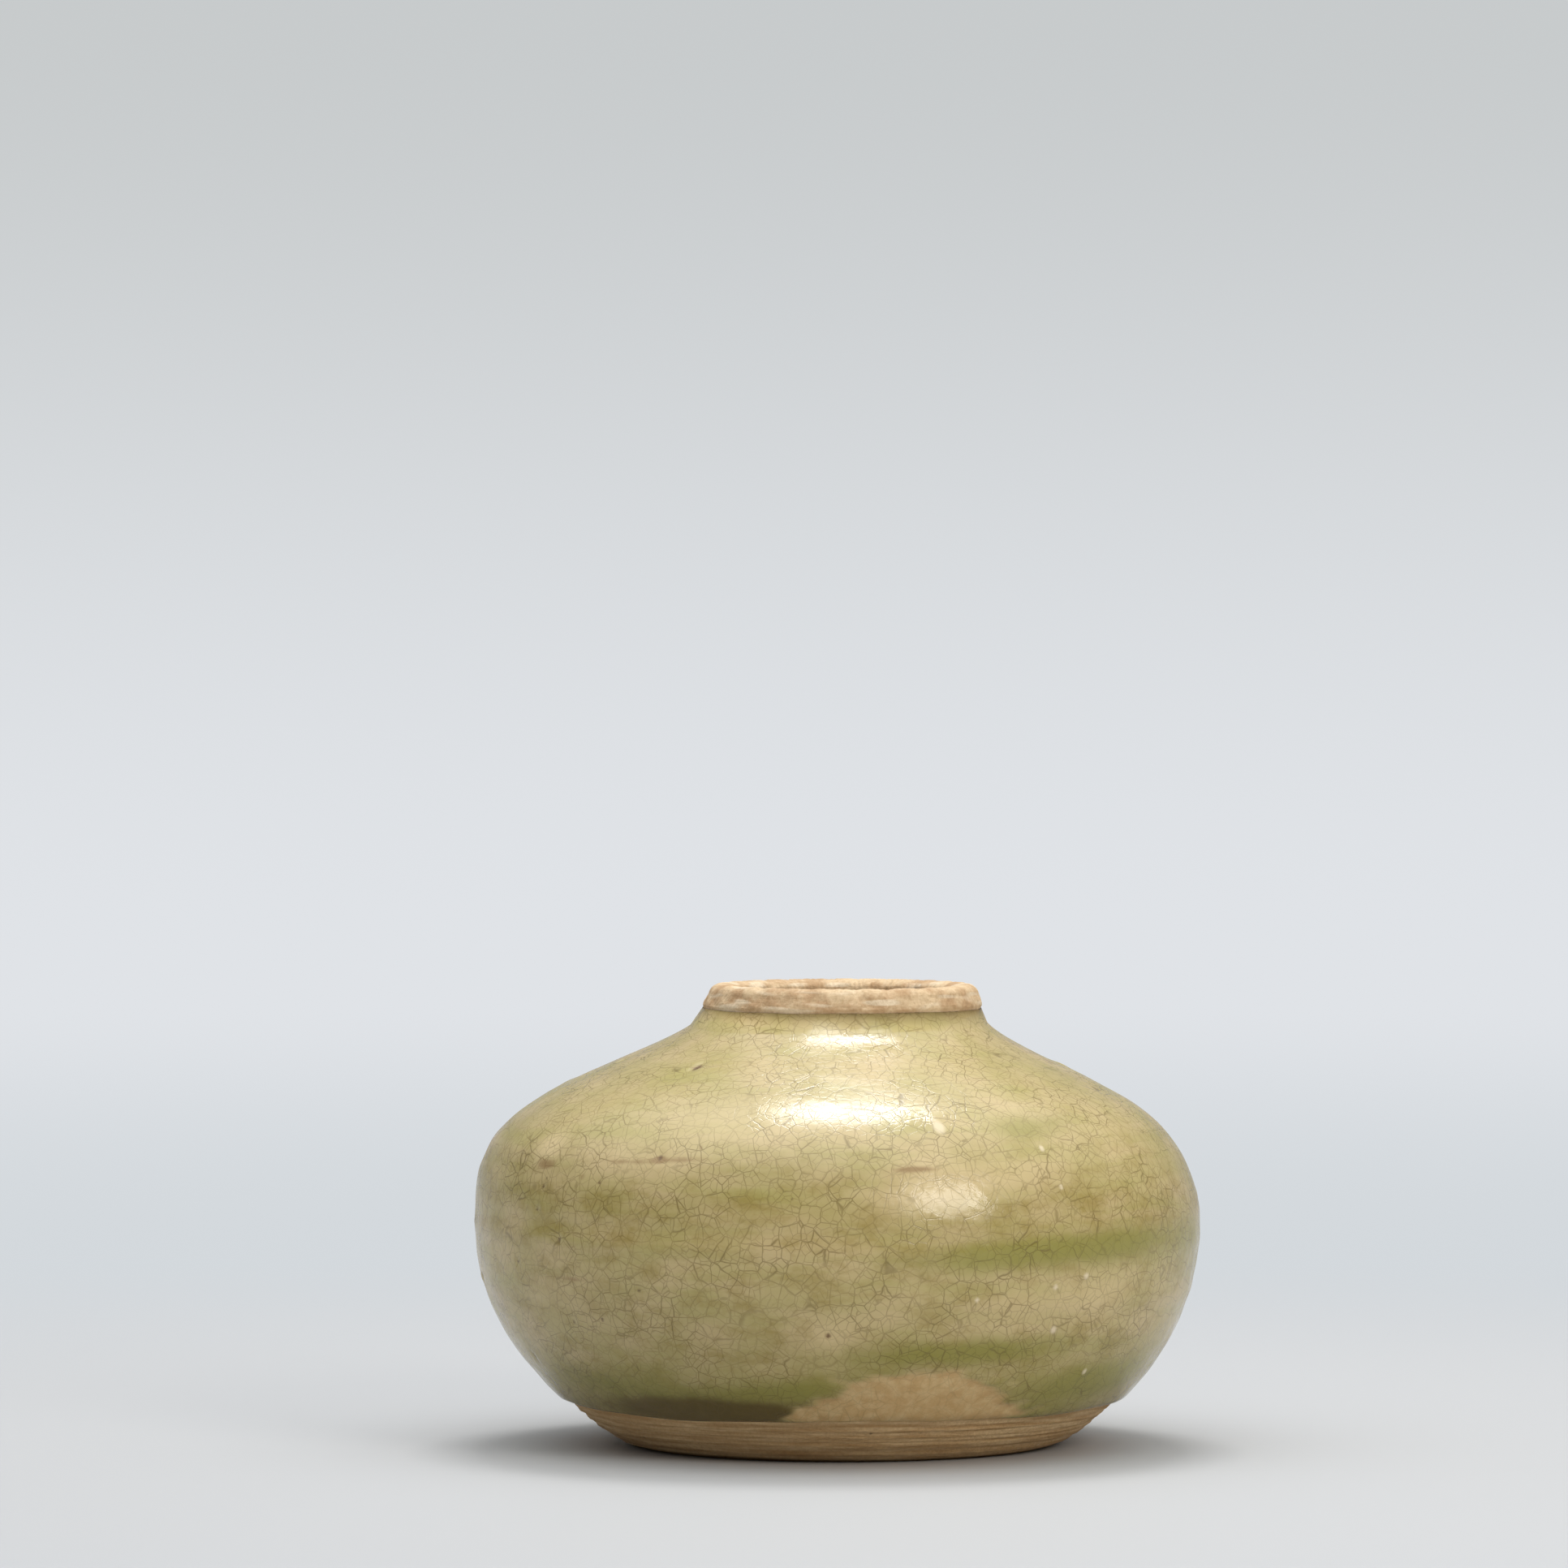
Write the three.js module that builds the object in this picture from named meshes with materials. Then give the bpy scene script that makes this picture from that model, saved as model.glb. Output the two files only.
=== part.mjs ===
// A small wheel-thrown stoneware jar: wide low shoulder, narrow mouth with a bare lip, trimmed bare foot,
// and a crackled celadon glaze outside and inside.
// Millimetres, +Z up. The origin is under the middle of the belly, on the surface that the jar stands on.
import * as THREE from "three";

// Outside of the fired clay, from the foot up. Radii are from the body's own centre line.
const footRadius = 23.1;
const trimFlare = 7.4;
const trimRise = 5.3;
const bellyRadius = 39.45;
const lowerWallRise = 19.2;
const shoulderInset = 10.35;
const upperWallRise = 15.0;
const neckRadius = 15.0;
const slopeRise = 8.0;
const neckRise = 1.1;

// The lip: how far it stands out from the neck, its height, its thickness and the rounding of its edges
const lipOverhang = 0.4;
const lipHeight = 2.3;
const lipWall = 3.8;
const lipTaper = 0.55;
const lipRound = 0.9;
const lipCornerSink = 0.2;
const mouthRound = 1.1;

// Inside of the fired clay
const throatNarrowing = 0.3;
const throatDepth = 4.0;
const shoulderWall = 4.3;
const bellyWall = 4.1;
const floorThickness = 5.2;
const floorFlatInset = 8.1;

// Glaze coats, and how far their free edges stay from the clay's own edges. seat is the hairline left between
// glass and clay, which are fused on the real jar.
const outerGlazeThickness = 0.5;
const innerGlazeThickness = 0.4;
const seat = 0.05;
const edgeRoll = 1.4;
const outerGlazeBelowTrim = 0.5;
const outerGlazeUnderLip = 0.3;
const innerGlazeUnderRim = 1.6;
const glazeEdgeWander = 0.35;
const edgeWaves = [
  { turns: 2, phase: 0.6, share: 0.6 },
  { turns: 5, phase: 1.2, share: 0.4 },
];

// The thrown body isn't true: its sections drift sideways with height and are slightly out of round.
const driftAtFoot = 0.7;
const driftAtShoulder = -0.5;
const driftAtRim = 0.8;
const outOfRound = 0.004;
const outOfRoundTurn = 0.8;
const trueFootRise = 12;

const trimTopRadius = footRadius + trimFlare;
const bellyHeight = trimRise + lowerWallRise;
const shoulderRadius = bellyRadius - shoulderInset;
const shoulderHeight = bellyHeight + upperWallRise;
const neckHeight = shoulderHeight + slopeRise;
const lipRadius = neckRadius + lipOverhang;
const lipEdgeHeight = neckHeight + neckRise;
const rimHeight = lipEdgeHeight + lipHeight;
const mouthRadius = lipRadius - lipWall;
const throatRadius = mouthRadius - throatNarrowing;

const stepsRound = 48;

// The shape of each stretch of outline: how far its handles reach, as shares of its run and rise, on leaving
// its lower-numbered end and on arriving at the other, and how many straight steps it is cut into.
const bends = {
  trim: { leave: [0.42, 0.2], arrive: [0.25, 0.32], steps: 3 },
  lowerWall: { leave: [0.55, 0.26], arrive: [0, 0.42], steps: 7 },
  upperWall: { leave: [0, 0.57], arrive: [0.61, 0.21], steps: 7 },
  slope: { leave: [0.45, 0.39], arrive: [0.014, 0.29], steps: 6 },
  mouth: { leave: [0.35, 0], arrive: [0, 0.82], steps: 3 },
  throat: { leave: [0.33, 0.31], arrive: [0, 0.31], steps: 2 },
  underShoulder: { leave: [0, 0.4], arrive: [0.4, 0.38], steps: 6 },
  insideWall: { leave: [0.55, 0.26], arrive: [0, 0.45], steps: 6 },
  bowl: { leave: [0, 0.45], arrive: [0.55, 0], steps: 7 },
};

const at = (radius, height) => new THREE.Vector2(radius, height);

// A smooth stretch of outline between two points, without the first.
function stretch(start, end, bend) {
  const reach = end.clone().sub(start);
  const leaving = start.clone().add(reach.clone().multiply(at(...bend.leave)));
  const arriving = end.clone().sub(reach.clone().multiply(at(...bend.arrive)));
  return new THREE.CubicBezierCurve(start, leaving, arriving, end).getPoints(bend.steps).slice(1);
}

// The outside of the clay from the edge of the base to the lip.
function clayOutside() {
  const foot = at(footRadius, 0);
  const trimTop = at(trimTopRadius, trimRise);
  const belly = at(bellyRadius, bellyHeight);
  const shoulder = at(shoulderRadius, shoulderHeight);
  const neck = at(neckRadius, neckHeight);
  return [
    foot,
    ...stretch(foot, trimTop, bends.trim),
    ...stretch(trimTop, belly, bends.lowerWall),
    ...stretch(belly, shoulder, bends.upperWall),
    ...stretch(shoulder, neck, bends.slope),
    at(lipRadius, lipEdgeHeight),
  ];
}

// The bare lip, from its outer edge over the top to the mouth.
function clayLip() {
  const side = at(lipRadius - lipTaper, rimHeight - lipRound);
  const corner = at(side.x - lipTaper, rimHeight - lipCornerSink);
  const crest = at(lipRadius - 2 * lipRound, rimHeight);
  const landing = at(mouthRadius, rimHeight - mouthRound);
  return [side, corner, crest, ...stretch(crest, landing, bends.mouth)];
}

// The inside of the clay from the mouth down to the edge of the floor.
function clayInside() {
  const throatTop = at(mouthRadius, rimHeight - mouthRound);
  const throat = at(throatRadius, rimHeight - throatDepth);
  const underShoulder = at(shoulderRadius - shoulderWall * 0.5, shoulderHeight - shoulderWall * 0.75);
  const wall = at(bellyRadius - bellyWall, bellyHeight);
  const floorEdge = at(footRadius - floorFlatInset, floorThickness);
  return [
    throatTop,
    ...stretch(throatTop, throat, bends.throat),
    ...stretch(throat, underShoulder, bends.underShoulder),
    ...stretch(underShoulder, wall, bends.insideWall),
    ...stretch(wall, floorEdge, bends.bowl),
  ];
}

// How far the body's sections stand off the axis at a height.
function drift(height) {
  const blend = THREE.MathUtils.smoothstep;
  if (height < bellyHeight) {
    return driftAtFoot * (1 - blend(height, 0, bellyHeight));
  }
  const toShoulder = driftAtShoulder * blend(height, bellyHeight, shoulderHeight);
  return toShoulder + (driftAtRim - driftAtShoulder) * blend(height, shoulderHeight, rimHeight);
}

// The place in space of a point of the outline, turned round the jar by an angle.
function place(point, angle) {
  const swell = Math.cos(2 * angle + outOfRoundTurn) * THREE.MathUtils.smoothstep(point.y, 0, trueFootRise);
  const radius = point.x * (1 + outOfRound * swell);
  return [drift(point.y) + radius * Math.cos(angle), radius * Math.sin(angle), point.y];
}

// A closed solid swept round the jar. outlineAt gives the section's points at an angle, anticlockwise in
// radius and height. An outline that ends on the axis is capped there; any other closes on itself.
function sweep(outlineAt) {
  const first = outlineAt(0);
  const onAxis = first[0].x === 0;
  const body = onAxis ? first.length - 2 : first.length;
  const positions = [];
  const faces = [];
  for (let step = 0; step < stepsRound; step += 1) {
    const angle = (2 * Math.PI * step) / stepsRound;
    const outline = outlineAt(angle);
    const ring = onAxis ? outline.slice(1, -1) : outline;
    ring.forEach((point) => positions.push(...place(point, angle)));
  }
  const index = (step, row) => (step % stepsRound) * body + (row % body);
  const joins = onAxis ? body - 1 : body;
  for (let step = 0; step < stepsRound; step += 1) {
    for (let row = 0; row < joins; row += 1) {
      const corners = [
        index(step, row),
        index(step + 1, row),
        index(step + 1, row + 1),
        index(step, row + 1),
      ];
      faces.push(corners[0], corners[1], corners[2], corners[0], corners[2], corners[3]);
    }
  }
  if (onAxis) {
    const bottom = positions.length / 3;
    positions.push(drift(first[0].y), 0, first[0].y);
    const top = bottom + 1;
    positions.push(drift(first.at(-1).y), 0, first.at(-1).y);
    for (let step = 0; step < stepsRound; step += 1) {
      faces.push(bottom, index(step + 1, 0), index(step, 0));
      faces.push(top, index(step, body - 1), index(step + 1, body - 1));
    }
  }
  const geometry = new THREE.BufferGeometry();
  geometry.setAttribute("position", new THREE.Float32BufferAttribute(positions, 3));
  geometry.setIndex(faces);
  geometry.computeVertexNormals();
  return geometry;
}

// The direction square to an outline at one of its points, to the right of its run.
function square(points, i) {
  const before = points[Math.max(i - 1, 0)];
  const after = points[Math.min(i + 1, points.length - 1)];
  const run = after.clone().sub(before).normalize();
  return at(run.y, -run.x);
}

// The wavering height of the outer glaze's edge above the foot.
function lowEdgeHeight(angle) {
  const waves = edgeWaves.map(({ turns, phase, share }) => share * Math.sin(turns * angle + phase));
  return trimRise - outerGlazeBelowTrim + glazeEdgeWander * waves.reduce((sum, wave) => sum + wave);
}

// The point at which an outline first passes a height, and the index of the outline's own point after it.
function crossing(points, height) {
  const after = points.findIndex((point, i) => i > 0 && (point.y - height) * (points[i - 1].y - height) <= 0);
  const before = points[after - 1];
  const share = (height - before.y) / (points[after].y - before.y);
  return { point: before.clone().lerp(points[after], share), after };
}

const halfway = (one, other) => one.clone().lerp(other, 0.5);

// The fired clay: floor, wall, shoulder, neck and lip in one thrown piece.
function clayGeometry() {
  const outline = [
    at(0, 0),
    ...clayOutside(),
    ...clayLip(),
    ...clayInside().slice(1),
    at(0, floorThickness),
  ];
  return sweep(() => outline);
}

// Glaze over a run of the clay's surface, rolled thin at its free edges.
function coat(surface, thickness, rollsStart, rollsEnd) {
  const inner = surface.map((point, i) => point.clone().addScaledVector(square(surface, i), seat));
  const lengths = [0];
  for (let i = 1; i < surface.length; i += 1) {
    lengths.push(lengths[i - 1] + surface[i].distanceTo(surface[i - 1]));
  }
  const total = lengths.at(-1);
  const outer = surface.map((point, i) => {
    const fromStart = rollsStart ? lengths[i] : edgeRoll;
    const fromEnd = rollsEnd ? total - lengths[i] : edgeRoll;
    const share = Math.min(fromStart, fromEnd, edgeRoll) / edgeRoll;
    const depth = seat + thickness * Math.sqrt(1 - (1 - share) ** 2);
    return point.clone().addScaledVector(square(surface, i), depth);
  });
  return { inner, outer };
}

// The coat outside, from its wavering edge above the foot to its line under the lip. Its clay side follows
// the clay's own points, so the two stay a hairline apart all over.
function outerGlazeGeometry() {
  const surface = clayOutside();
  const top = crossing(surface, lipEdgeHeight - outerGlazeUnderLip);
  return sweep((angle) => {
    const low = crossing(surface, lowEdgeHeight(angle));
    const run = [
      low.point,
      halfway(low.point, surface[low.after]),
      ...surface.slice(low.after, top.after),
      halfway(surface[top.after - 1], top.point),
      top.point,
    ];
    const { inner, outer } = coat(run, outerGlazeThickness, true, true);
    return [...outer, ...inner.slice(1, -1).reverse()];
  });
}

// The lining, from just inside the mouth to the middle of the floor.
function innerGlazeGeometry() {
  const surface = [...clayInside(), at(0, floorThickness)];
  const top = crossing(surface, rimHeight - innerGlazeUnderRim);
  const run = [top.point, halfway(top.point, surface[top.after]), ...surface.slice(top.after)];
  const { inner, outer } = coat(run, innerGlazeThickness, true, false);
  const outline = [...inner.reverse(), ...outer.slice(1)];
  return sweep(() => outline);
}

const bareClay = new THREE.MeshStandardMaterial({ color: 0xb08d68, roughness: 0.85, metalness: 0 });
const celadon = new THREE.MeshStandardMaterial({ color: 0xb5a573, roughness: 0.25, metalness: 0 });
const lining = new THREE.MeshStandardMaterial({ color: 0xb9ad82, roughness: 0.3, metalness: 0 });

function piece(name, geometry, material) {
  const mesh = new THREE.Mesh(geometry, material);
  mesh.name = name;
  return mesh;
}

const jar = new THREE.Group();
jar.add(piece("clay_body", clayGeometry(), bareClay));
jar.add(piece("outer_glaze", outerGlazeGeometry(), celadon));
jar.add(piece("inner_glaze", innerGlazeGeometry(), lining));

export default jar;
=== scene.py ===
import math

import bpy
import numpy as np
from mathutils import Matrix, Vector


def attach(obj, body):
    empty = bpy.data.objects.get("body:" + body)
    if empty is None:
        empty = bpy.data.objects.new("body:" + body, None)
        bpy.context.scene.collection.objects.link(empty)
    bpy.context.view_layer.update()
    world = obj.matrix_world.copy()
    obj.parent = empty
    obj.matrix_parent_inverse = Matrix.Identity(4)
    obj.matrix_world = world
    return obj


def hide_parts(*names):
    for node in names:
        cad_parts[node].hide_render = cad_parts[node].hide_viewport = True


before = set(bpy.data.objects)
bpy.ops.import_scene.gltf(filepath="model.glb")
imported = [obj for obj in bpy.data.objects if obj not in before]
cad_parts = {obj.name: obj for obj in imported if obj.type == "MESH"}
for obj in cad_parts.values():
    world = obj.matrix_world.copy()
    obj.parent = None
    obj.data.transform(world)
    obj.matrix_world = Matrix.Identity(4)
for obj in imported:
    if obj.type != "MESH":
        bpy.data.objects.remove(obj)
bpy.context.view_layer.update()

# Lengths are in millimetres until a mesh is made. Angles go round the jar from its front, which faces -Y,
# towards +X. The jar's outline is a list of radii from the body's centre line and heights above the table.
MM = 0.001
TAU = 2 * math.pi

# Outside of the fired clay, from the foot up, and the bare lip
FOOT = (23.1, 0.0)
TRIM_TOP = (30.5, 5.3)
BELLY = (39.45, 24.5)
SHOULDER = (29.1, 39.5)
NECK = (15.0, 47.5)
LIP_EDGE = (15.4, 48.6)
LIP_SIDE = (14.85, 50.0)
LIP_CREST = (13.6, 50.9)
BASE_EDGE_ROUND = 0.6

# Inside of the fired clay, from the mouth down
SHOULDER_WALL = 4.3
BELLY_WALL = 4.1
FLOOR_THICKNESS = 5.2
FLOOR_FLAT_RADIUS = 15.0
MOUTH = (11.6, 49.8)
THROAT = (11.3, 46.9)
# The shares of the shoulder's wall that lie inward and downward, as it slants
WALL_INWARD = 0.5
WALL_DOWNWARD = 0.75
UNDER_SHOULDER = (SHOULDER[0] - SHOULDER_WALL * WALL_INWARD, SHOULDER[1] - SHOULDER_WALL * WALL_DOWNWARD)
INSIDE_WALL = (BELLY[0] - BELLY_WALL, BELLY[1])
FLOOR_EDGE = (FLOOR_FLAT_RADIUS, FLOOR_THICKNESS)

# Each stretch of outline leaves its start and meets its end along a handle, whose reach is a share of the
# stretch's run and rise. The last number is how many steps it is cut into.
TRIM_BEND = ((0.42, 0.2), (0.25, 0.32), 40)
LOWER_WALL_BEND = ((0.55, 0.26), (0, 0.42), 60)
UPPER_WALL_BEND = ((0, 0.57), (0.61, 0.21), 60)
SLOPE_BEND = ((0.45, 0.39), (0.0142, 0.29), 50)
NECK_BEND = ((0, 0.4545), (0, 0.4545), 8)
LIP_SIDE_BEND = ((0, 0.2857), (0.2727, 0.3571), 12)
LIP_CORNER_BEND = ((0.16, 0.6667), (0.4, 0), 14)
MOUTH_BEND = ((0.35, 0), (0, 0.8182), 14)
THROAT_BEND = ((0.3333, 0.3103), (0, 0.3103), 4)
UNDER_SHOULDER_BEND = ((0, 0.4), (0.4, 0.38), 6)
INSIDE_WALL_BEND = ((0.55, 0.26), (0, 0.45), 5)
BOWL_BEND = ((0, 0.45), (0.55, 0), 6)

# The glaze coats, which leave a hairline to the clay that they are fused to on a real jar
OUTER_GLAZE = 0.5
LINING = 0.4
SEAT = 0.05
EDGE_ROLL = 1.1
GLAZE_LOW_HEIGHT = 4.95
GLAZE_TOP_HEIGHT = 48.3
LINING_TOP_HEIGHT = 49.3

# The thrown body isn't true: its sections drift sideways with height and are slightly out of round.
DRIFT_AT_FOOT = 0.7
DRIFT_AT_SHOULDER = -0.5
DRIFT_AT_RIM = 0.8
OUT_OF_ROUND = 0.004
OUT_OF_ROUND_TURN = 0.8
TRUE_FOOT_RISE = 12

# How finely the pieces are cut
COLUMNS = 900
LINING_COLUMNS = 400
GLAZE_ROWS = 204
GLAZE_HIDDEN_ROWS = 14
ROW_CROWDING = 0.012
FOOT_ROWS = 52
WALL_ROWS = 52
RIM_ROWS = 46
CLAY_INSIDE_FINENESS = 2
LINING_FINENESS = 4
LINING_HIDDEN_STEP = 3
FOOT_ABOVE_TRIM = 0.9

# The height of each half of the colour map, with the jar's right side below and its left side above, and
# the strips of a half that the shown and hidden rows of the glaze coats fill
MAP_HALF = 0.49
GLAZE_SHOWN_END = 0.96
GLAZE_HIDDEN_STRIP = (0.965, 0.99)
LINING_HIDDEN_STRIP = (0, 0.03)
LINING_SHOWN_STRIP = (0.04, 0.99)

# Seeded variation: seed, how many waves are summed, their reach in millimetres, and how far they are drawn
# out round the jar
WAVES = {
    "ridge strength": (11, 6, 22, 3),
    "swell": (12, 8, 18, 3),
    "thin patch edge": (5, 8, 2.2, 2),
    "pebbles": (51, 14, 1.4, 0.8),
    "glaze streaks": (3, 14, 5.0, 5),
    "glaze clouds": (4, 14, 7.0, 1.2),
    "foot roughness": (21, 10, 2.0, 1.0),
    "lip wear": (22, 10, 3.0, 1.2),
    "lip grain": (23, 12, 1.2, 1.0),
    "clay streaks": (24, 12, 1.6, 9),
    "lining thickness": (41, 8, 6, 2),
    "lining streaks": (42, 12, 4, 3),
    "lining clouds": (43, 12, 3, 0.8),
}

# Ridges left by fingers and by the trimming tool: depth, spacing and turn
THROWING_RIDGES = [(0.045, 4.6, 0.7), (0.03, 2.9, 0.0)]
TURNED_RINGS = [(0.05, 0.9, 0.0), (0.035, 0.43, 1.2)]
GROOVE_HEIGHTS = (1.35, 2.9, 3.6, 4.75)
GROOVE_DEPTH = 0.14
GROOVE_HALF_WIDTH = 0.09
GROOVE_WANDER = 0.06

# The heights between which the turned rings fade in at the base and out under the glaze
RINGS_FADE_IN = (0.15, 0.7)
RINGS_FADE_OUT = (5.0, 5.4)

# The shares of the throwing ridges that are left where they are weakest, and that show through the glaze.
# They are weakest and full at these two values of their seeded strength.
WEAKEST_RIDGES = 0.35
RIDGES_THROUGH_GLAZE = 0.7
RIDGES_GROW = (-0.8, 1.2)

# Heights of the seeded relief. The foot's is drawn out along the turns by the squeeze.
SWELL_RELIEF = 0.10
PEBBLE_RELIEF = 0.018
FOOT_RELIEF = 0.02
FOOT_RELIEF_SQUEEZE = 3
LIP_WEAR_RELIEF = 0.05
LIP_GRAIN_RELIEF = 0.03
LINING_RELIEF = 0.04
DEEPEST_PIT = 0.3
HIGHEST_BUMP = 0.18
HIGHEST_LIP_WEAR = 0.05
HIGHEST_ABOVE_CREST = 0.02

# The part of the edge roll, from 0 at the edge, over which the glaze's relief sets in, and the rise above
# the lip's lower edge over which its wear does
RELIEF_SETS_IN = (0.2, 1.0)
LIP_WEAR_SETS_IN = 0.3

# How the outer glaze's thickness follows its marks: the share lost where it is thin, and the gain in streaks
THINNED_SHARE = 0.5
STREAK_GAIN = 0.05

# Waver of the outer glaze's free edges: reach, waves round the jar and turn
LOW_EDGE_WAVES = [(0.1, 2, 0.6), (0.07, 5, 1.9), (0.05, 13, 0.0)]
TOP_EDGE_WAVES = [(0.04, 3, 0.4), (0.02, 11, 2.0)]

# The lower edge is lowest round an angle near the front. Its rise starts and ends this far to either side.
LOW_EDGE_RISE = 0.35
LOWEST_ANGLE = 0.1
RISE_START, RISE_END = 0.6, 1.4

# Small raised bumps and burst bubbles: degrees round, height, radius, rise
BUMPS = [
    (42, 20.8, 0.45, 0.16), (22, 18.8, 0.35, 0.10), (36, 19.8, 0.40, 0.12), (48, 10.3, 0.40, 0.12),
    (38, 30.2, 0.35, 0.10), (37, 34.1, 0.40, 0.12), (19, 36.4, 0.80, 0.10), (-40, 42.2, 0.45, -0.14),
    (-2, 15.1, 0.35, -0.10), (-49, 24.4, 0.35, -0.12), (-55, 27.4, 0.30, -0.10), (-54, 29.8, 0.35, -0.12),
    (-41, 30.6, 0.30, -0.08), (-61, 21.6, 0.30, -0.10), (-70, 11.0, 0.40, -0.12), (-42, 16.1, 0.35, -0.10),
    (-49, 15.6, 0.30, -0.10), (-33, 19.5, 0.30, -0.08), (-30, 33.3, 0.40, -0.10), (37, 15.2, 0.50, 0.08),
]
BUMP_COLOUR_REACH = 0.8

# The seeded ones away from the front: seed, how many, and the ranges of the same four measures
SCATTER_SEED = 31
SCATTERED_BUMPS = 90
SCATTER_RANGES = ((80, 280), (8, 44), (0.25, 0.5), (-0.13, 0.13))

# Marks in the glaze: degrees round, height, half width, half height, lean, strength
GREEN_MARKS = [
    (48, 24.0, 13.0, 1.5, 0.02, 1.0), (22, 23.0, 9.0, 1.3, 0.05, 0.55), (38, 36.3, 6.5, 1.1, 0.05, 0.75),
    (20, 13.0, 9.5, 1.0, 0.02, 0.85), (52, 9.2, 8.0, 1.5, 0.06, 0.85), (-45, 8.6, 9.0, 1.6, -0.05, 0.55),
    (-8, 9.0, 6.5, 1.0, 0.10, 0.65), (-25, 29.3, 9.0, 1.1, 0.02, 0.35), (0, 33.6, 9.0, 1.0, 0.0, 0.45),
    (78, 21.5, 6.0, 2.0, 0.0, 0.6), (80, 34.0, 8.0, 1.2, 0.03, 0.5), (30, 5.9, 9.0, 0.7, 0.0, 0.5),
    (115, 26.0, 14.0, 1.7, 0.03, 0.9), (150, 12.0, 11.0, 1.5, 0.04, 0.8), (185, 33.0, 12.0, 1.4, -0.03, 0.8),
    (215, 18.0, 13.0, 1.6, 0.04, 0.8), (245, 7.5, 9.0, 1.4, 0.0, 0.9), (265, 30.0, 9.0, 1.3, 0.02, 0.5),
    (130, 7.0, 8.0, 1.3, 0.0, 0.9), (200, 8.0, 8.0, 1.2, 0.0, 0.6),
]
BUFF_MARKS = [
    (14, 30.0, 5.0, 2.3, 0.0, 1.0), (30, 31.5, 6.0, 1.5, 0.03, 0.7), (-1, 14.2, 2.6, 2.0, 0.1, 1.0),
    (45, 18.5, 6.0, 2.6, 0.05, 0.8), (28, 18.0, 3.0, 2.6, 0.1, 0.6), (8, 17.3, 6.0, 1.2, 0.0, 0.5),
    (-56, 33.9, 2.0, 1.3, 0.0, 1.0), (-35, 32.2, 8.5, 1.3, 0.02, 0.8), (-48, 18.5, 7.0, 1.8, 0.0, 0.55),
    (-20, 36.0, 10.0, 1.5, 0.04, 0.55), (10, 42.0, 14.0, 1.6, 0.0, 0.5), (-14, 25.0, 7.0, 2.2, 0.0, 0.35),
    (62, 30.0, 7.0, 1.6, 0.03, 0.5), (-12, 11.3, 6.0, 0.7, 0.0, 0.5), (140, 30.0, 9.0, 2.2, 0.03, 0.8),
    (170, 20.0, 8.0, 2.6, -0.05, 0.8), (225, 28.0, 8.0, 1.6, 0.02, 0.8), (255, 15.0, 7.0, 2.2, 0.0, 0.7),
    (195, 41.0, 14.0, 1.6, 0.0, 0.5), (105, 16.0, 6.0, 2.0, 0.05, 0.6),
]
# Where the surface is pebbled by fine bubbles
PEBBLED_MARKS = [
    (20, 31.0, 6.0, 3.0, 0.0, 1.0), (22, 36.4, 4.0, 0.8, 0.0, 1.0), (190, 25.0, 8.0, 4.0, 0.0, 1.0),
]
# Where the glaze ran down and stands thick, dark and brownish. The broad third mark, low on the left, is
# painted shade on the jar's darker left side.
POOL_AND_SHADE_MARKS = [
    (-20, 6.3, 7.6, 1.0, 0.0, 1.1), (-33, 6.6, 7.0, 0.9, 0.0, 0.6), (-50, 9.0, 10.0, 3.0, 0.0, 0.35),
    (245, 6.4, 8.0, 1.0, 0.0, 0.9), (205, 6.2, 9.0, 0.8, 0.0, 0.7),
]
# Where fingers rubbed the glaze thin above the foot
THIN_MARKS = [
    (14, 8.2, 6.0, 1.9, 0.0, 1.3), (3, 6.6, 5.5, 0.9, 0.10, 1.2), (26, 6.2, 5.0, 0.9, -0.05, 0.9),
    (172, 7.8, 6.5, 1.8, 0.0, 1.2), (160, 6.4, 5.0, 0.9, 0.0, 0.9),
]
# Iron stains, spots and short flaw lines
BROWN_MARKS = [
    (-54.5, 32.0, 1.25, 0.42, 0.0, 1.2), (-57, 33.0, 0.6, 0.5, 0.0, 0.5), (-30, 33.2, 0.5, 0.3, 0.0, 1.0),
    (-38, 32.7, 5.0, 0.24, 0.02, 0.8), (-26, 33.2, 3.4, 0.22, 0.03, 0.7), (-23, 34.4, 0.4, 0.35, 0.0, 0.7),
    (13, 32.4, 2.2, 0.26, 0.02, 1.1), (-46, 20.3, 2.4, 0.24, 0.0, 0.95), (-45, 31.0, 0.5, 0.35, 0.0, 0.7),
    (37, 15.2, 0.45, 0.5, 0.0, 0.8), (-2, 15.1, 0.28, 0.28, 0.0, 1.2), (-40, 42.2, 0.55, 0.16, 0.05, 1.2),
    (120, 34.0, 1.2, 0.5, 0.0, 0.9), (205, 24.5, 2.6, 0.15, 0.02, 0.8), (240, 36.0, 1.0, 0.4, 0.0, 0.8),
    (160, 15.0, 0.4, 0.35, 0.0, 1.0), (100, 24.0, 2.2, 0.13, 0.02, 0.7),
]
# What the glaze gains low on the jar: strength, full below this height, none above this one
# The green and dull gains darken the lower body, partly as painted shade.
LOW_GREEN_AND_SHADE = [(0.34, 6, 19), (0.14, 14, 30)]
LOW_POOL = [(0.45, 5.2, 8.5)]
LOW_DULL_AND_SHADE = [(0.85, 28, 38)]
LEAST_DULL = 0.15
LINING_DULL = 0.5

# A thin patch's edge is ragged. Its glaze starts to thin and is thinnest at these two values of its mark.
THIN_RAGGEDNESS = 0.10
THIN_GROWS = (0.12, 0.85)
GREEN_LOST_WHERE_THIN = 0.85

# The most that overlapping marks come to
MOST_TINT = 1.3
MOST_STAIN = 1.2

# The heights between which the clay's tone goes over from the foot's to the rim's
RIM_TONE = (NECK[1] - 1.5, NECK[1] - 0.5)

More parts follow.
